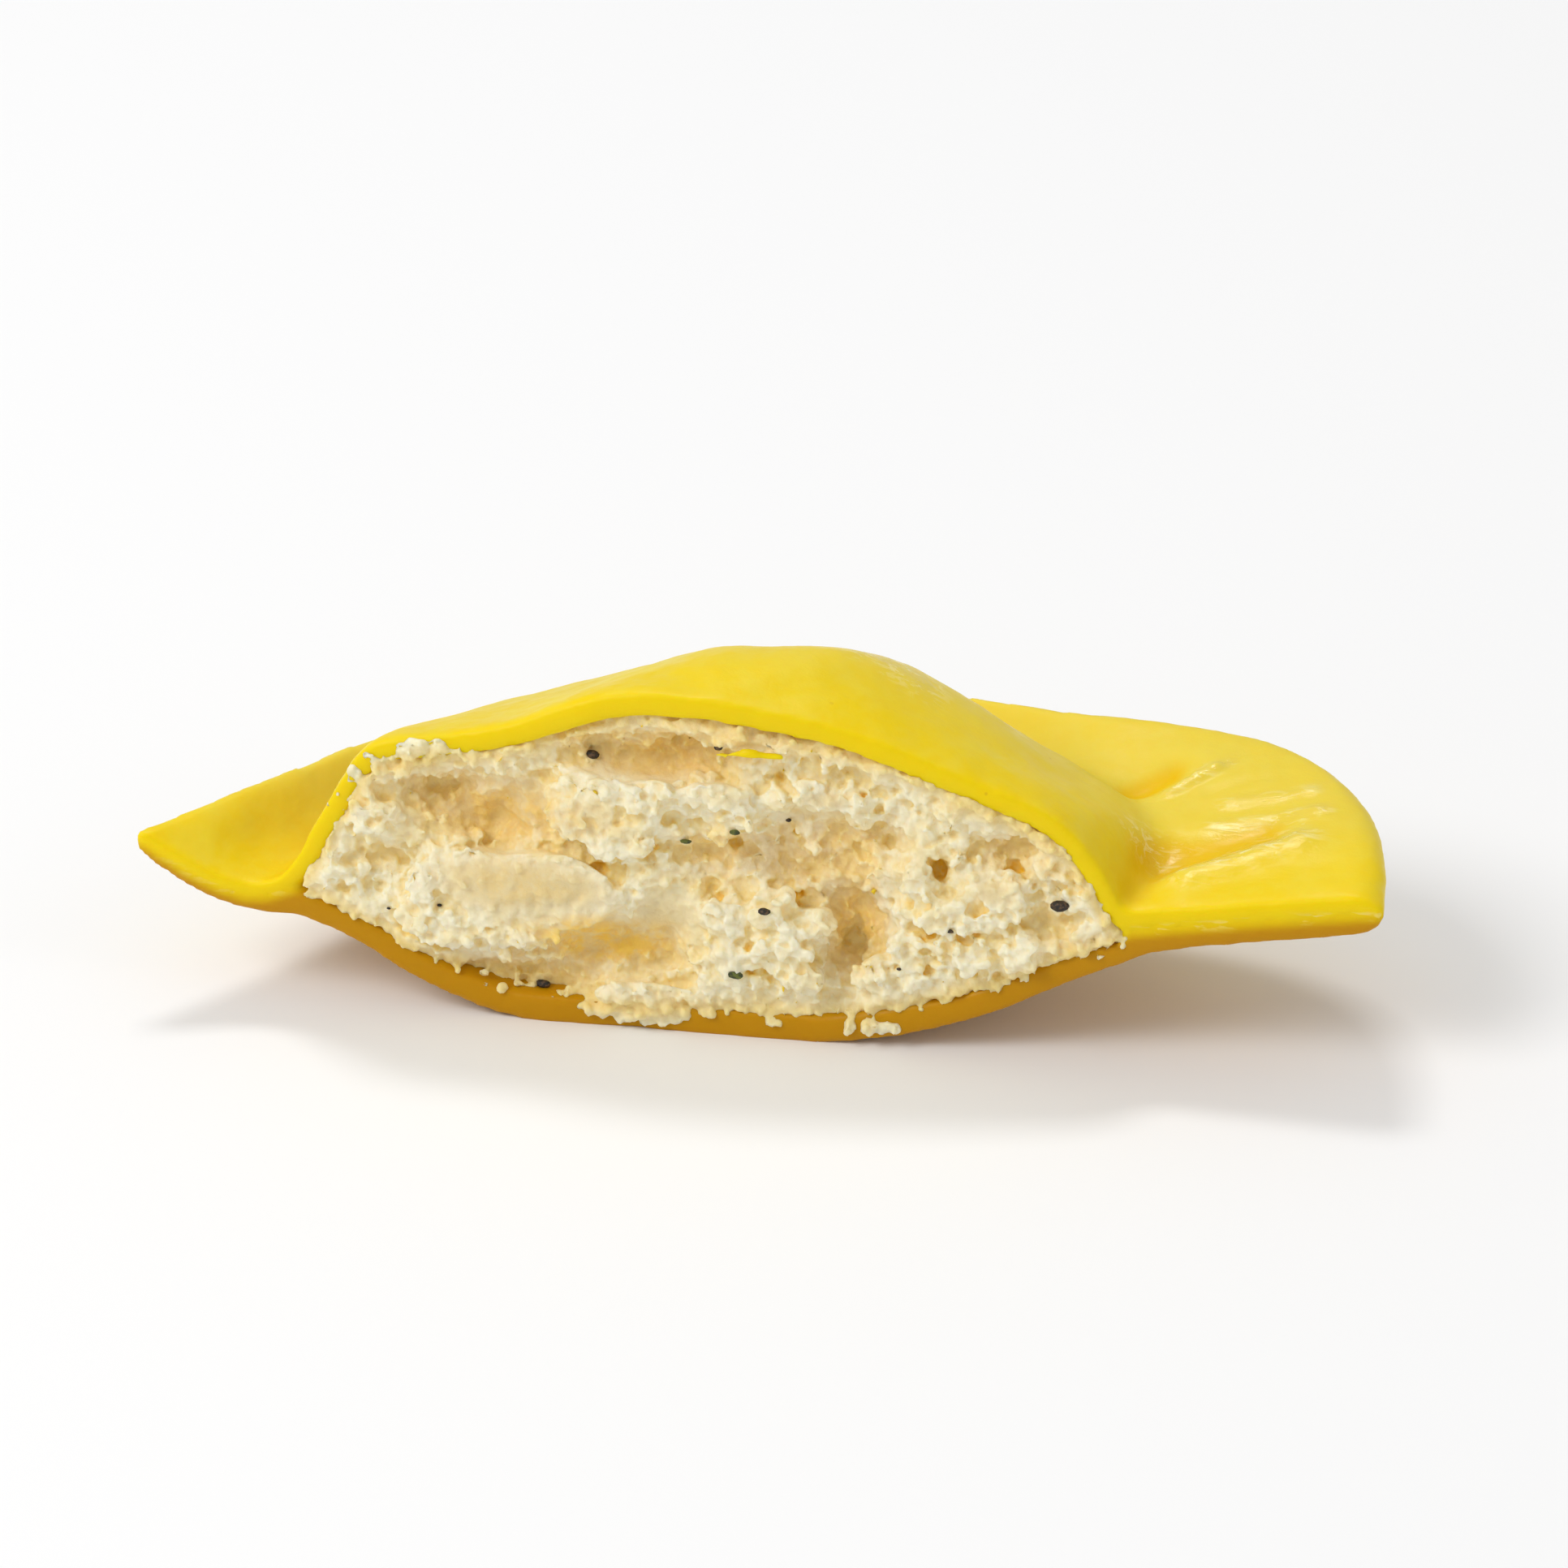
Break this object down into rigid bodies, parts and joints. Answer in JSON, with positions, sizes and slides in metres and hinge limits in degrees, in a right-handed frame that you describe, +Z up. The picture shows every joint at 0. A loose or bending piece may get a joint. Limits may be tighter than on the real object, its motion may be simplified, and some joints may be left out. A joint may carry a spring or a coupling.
{
  "type": "cut cheese-filled ravioli",
  "caption": "Large stuffed pasta pillow cut in two: pressed egg-dough margins, a domed pocket and a crumbly white cheese filling on the cut face.",
  "frame": {"origin": "on the floor, under the middle of the piece's outline", "axes": "+Z up as it lies on its belly, +X along the cut towards the broad margin, +Y from the cut face to the uncut back"},
  "size_m": [0.0768, 0.0264, 0.0233],
  "materials": {
    "dough_upper": "cooked egg dough, smooth and waxy, slightly moist",
    "dough_under": "cooked egg dough, smooth and waxy, slightly deeper in colour",
    "cheese": "moist, crumbly fresh cheese with small curds"
  },
  "bodies": {
    "root": {"bottom_sheet": "dough_under", "filling": "cheese", "top_sheet": "dough_upper"}
  },
  "joints": []
}
